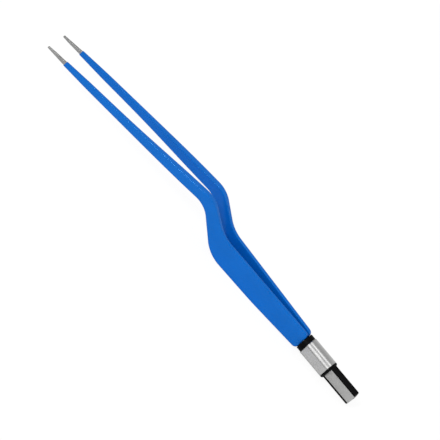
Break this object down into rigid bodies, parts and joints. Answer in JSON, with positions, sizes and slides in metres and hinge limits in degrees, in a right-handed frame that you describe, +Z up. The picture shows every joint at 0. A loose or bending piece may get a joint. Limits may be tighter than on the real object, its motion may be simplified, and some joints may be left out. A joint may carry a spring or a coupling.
{
  "type": "bipolar forceps",
  "caption": "Bayonet bipolar forceps: sprung steel blades in blue insulating jackets with bare tips, held in a round plug that ends in a flat contact tongue.",
  "frame": {"origin": "bottom centre of the object's box, as it stands on the lower edges of its blades", "axes": "+X along the plug axis towards the plug's tongue, so the tips point to -X; +Y from the left blade to the right blade; +Z up, to the side on which the bayonet step raises the working ends"},
  "size_m": [0.1976, 0.0138, 0.0222],
  "materials": {
    "plug_black": "moulded black resin, satin",
    "sleeve_steel": "turned steel with milled flats",
    "contact_metal": "satin plate",
    "blade_steel": "satin stainless steel",
    "jacket_blue": "smooth nylon coating"
  },
  "bodies": {
    "plug": {"plug_body": "plug_black", "front_collar": "plug_black", "plug_sleeve": "sleeve_steel", "left_contact": "contact_metal", "right_contact": "contact_metal"},
    "left_blade": {"left_tine": "blade_steel", "left_jacket": "jacket_blue"},
    "right_blade": {"right_tine": "blade_steel", "right_jacket": "jacket_blue"}
  },
  "joints": [
    {"name": "left_squeeze", "type": "hinge", "parent": "plug", "child": "left_blade", "pos_m": [0.06648, -0.0013, 0.00606], "axis": [0, 0, -1], "range_deg": [0, 1.96], "stiffness_Nm_per_rad": 1.5},
    {"name": "right_squeeze", "type": "hinge", "parent": "plug", "child": "right_blade", "pos_m": [0.06648, 0.0013, 0.00606], "axis": [0, 0, 1], "range_deg": [0, 1.96], "stiffness_Nm_per_rad": 1.5}
  ]
}
